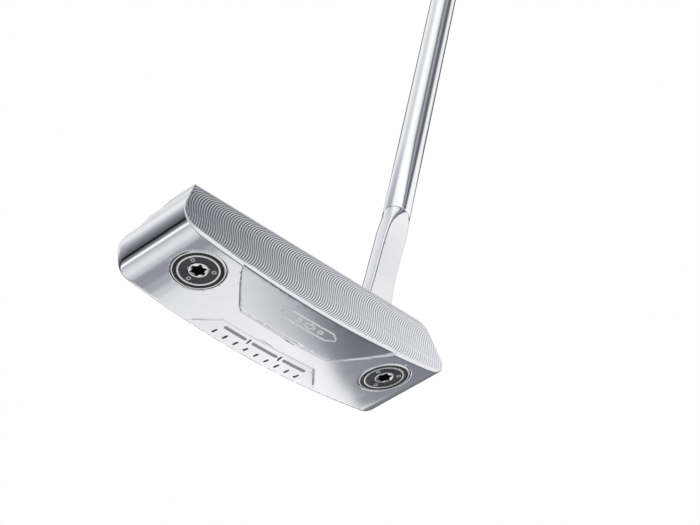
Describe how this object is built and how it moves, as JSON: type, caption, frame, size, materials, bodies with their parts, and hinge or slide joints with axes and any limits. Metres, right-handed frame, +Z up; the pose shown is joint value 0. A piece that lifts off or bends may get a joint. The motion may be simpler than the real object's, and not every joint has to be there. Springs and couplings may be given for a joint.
{
  "type": "golf putter",
  "caption": "Right-handed wide-blade putter: milled steel head with stepped shoulders and an open back, swept neck, stepped steel shaft, flat-fronted grip, screw-in sole weights.",
  "frame": {"origin": "centre of the flat land of the sole on which the head rests, mid-way between the two weights", "axes": "+X from toe to heel, -Y the way the face strikes, +Z up with the club at its lie angle of 71 degrees"},
  "size_m": [0.3812, 0.0391, 0.8194],
  "materials": {
    "satin_steel": "glass-bead blasted satin stainless, fine milling arcs on the face",
    "shaft_chrome": "bright chrome plate",
    "epoxy": "cured adhesive",
    "grip_tape": "creped two-sided paper tape",
    "grip_rubber": "matt moulded rubber with fine grooves",
    "cap_plastic": "matt moulded",
    "enamel": "enamel fill",
    "weight_steel": "fine turned, bright",
    "black_inlay": "satin black",
    "charcoal_inlay": "satin charcoal, turned",
    "washer_nylon": "matt"
  },
  "bodies": {
    "head_shaft_grip": {"putter_head": "satin_steel", "shaft": "shaft_chrome", "shaft_bond": "epoxy", "grip_tape": "grip_tape", "grip": "grip_rubber", "grip_cap": "cap_plastic", "sight_line_fill": "enamel", "sole_slot_fill_1": "enamel", "sole_slot_fill_2": "enamel", "sole_slot_fill_3": "enamel", "sole_slot_fill_4": "enamel", "sole_slot_fill_5": "enamel", "sole_slot_fill_6": "enamel", "sole_slot_fill_7": "enamel", "sole_slot_fill_8": "enamel", "sole_slot_fill_9": "enamel"},
    "toe_weight_travel": {"toe_weight_washer": "washer_nylon"},
    "toe_weight": {"toe_weight_screw": "weight_steel", "toe_weight_outer_inlay": "black_inlay", "toe_weight_inner_inlay": "charcoal_inlay"},
    "heel_weight_travel": {"heel_weight_washer": "washer_nylon"},
    "heel_weight": {"heel_weight_screw": "weight_steel", "heel_weight_outer_inlay": "black_inlay", "heel_weight_inner_inlay": "charcoal_inlay"}
  },
  "joints": [
    {"name": "toe_weight_back_out", "type": "slide", "parent": "head_shaft_grip", "child": "toe_weight_travel", "axis": [-0.1281, 0, -0.9918], "range_m": [0, 0.00501]},
    {"name": "toe_weight_unscrew", "type": "hinge", "parent": "toe_weight_travel", "child": "toe_weight", "pos_m": [-0.04257, -0.00666, 0.00268], "axis": [-0.1281, 0, -0.9918], "range_deg": [0, 1800]},
    {"name": "heel_weight_back_out", "type": "slide", "parent": "head_shaft_grip", "child": "heel_weight_travel", "axis": [0.1281, 0, -0.9918], "range_m": [0, 0.00501]},
    {"name": "heel_weight_unscrew", "type": "hinge", "parent": "heel_weight_travel", "child": "heel_weight", "pos_m": [0.04257, -0.00666, 0.00268], "axis": [0.1281, 0, -0.9918], "range_deg": [0, 1800]}
  ],
  "couplings": [
    {"joint": "toe_weight_back_out", "follows": "toe_weight_unscrew", "m_per_rad": 0.00015915},
    {"joint": "heel_weight_back_out", "follows": "heel_weight_unscrew", "m_per_rad": 0.00015915}
  ]
}
